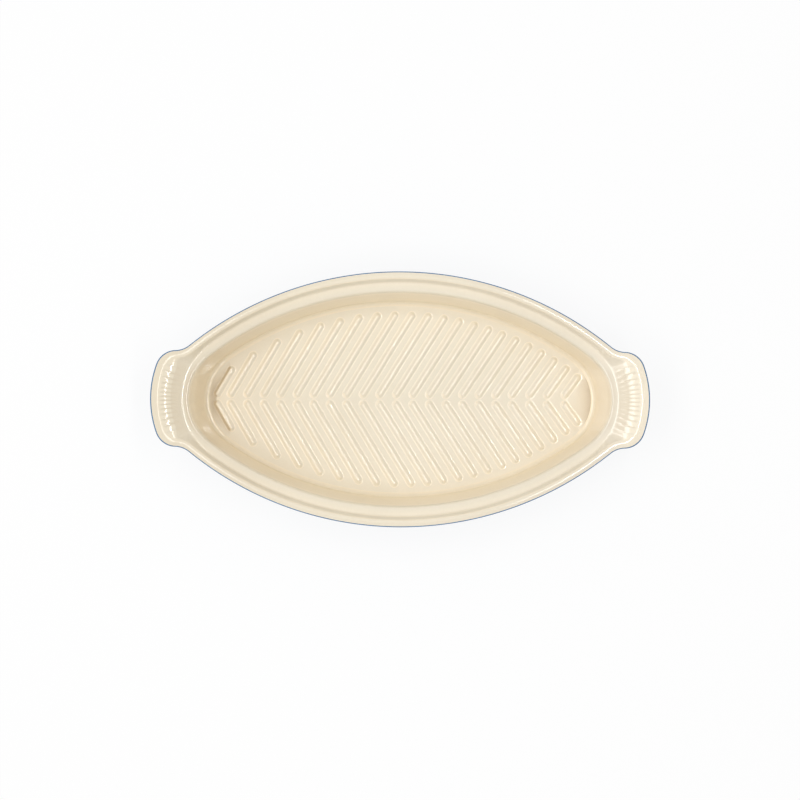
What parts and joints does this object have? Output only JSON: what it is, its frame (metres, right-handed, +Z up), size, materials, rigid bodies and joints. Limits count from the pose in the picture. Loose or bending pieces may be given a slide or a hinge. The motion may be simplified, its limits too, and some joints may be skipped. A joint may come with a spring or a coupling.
{
  "type": "baking dish",
  "caption": "Oval fish baking dish with a lug handle at each end, a raised rim lip over a sloping shelf, and a deep well whose floor has a herringbone of raised ribs.",
  "frame": {"origin": "centre of the dish at the level of the foot ring's underside, where it stands", "axes": "+X along the length, towards the end that the herringbone's open side faces, +Y across, +Z up"},
  "size_m": [0.4, 0.2046, 0.055],
  "materials": {
    "bare_stoneware": "fired clay, matt, bare only under the base and on the foot ring",
    "cream_glaze": "glossy cream glaze",
    "blue_glaze": "glossy blue glaze"
  },
  "bodies": {
    "root": {"stoneware_body": "bare_stoneware", "interior_glaze": "cream_glaze", "exterior_glaze": "blue_glaze"}
  },
  "joints": []
}
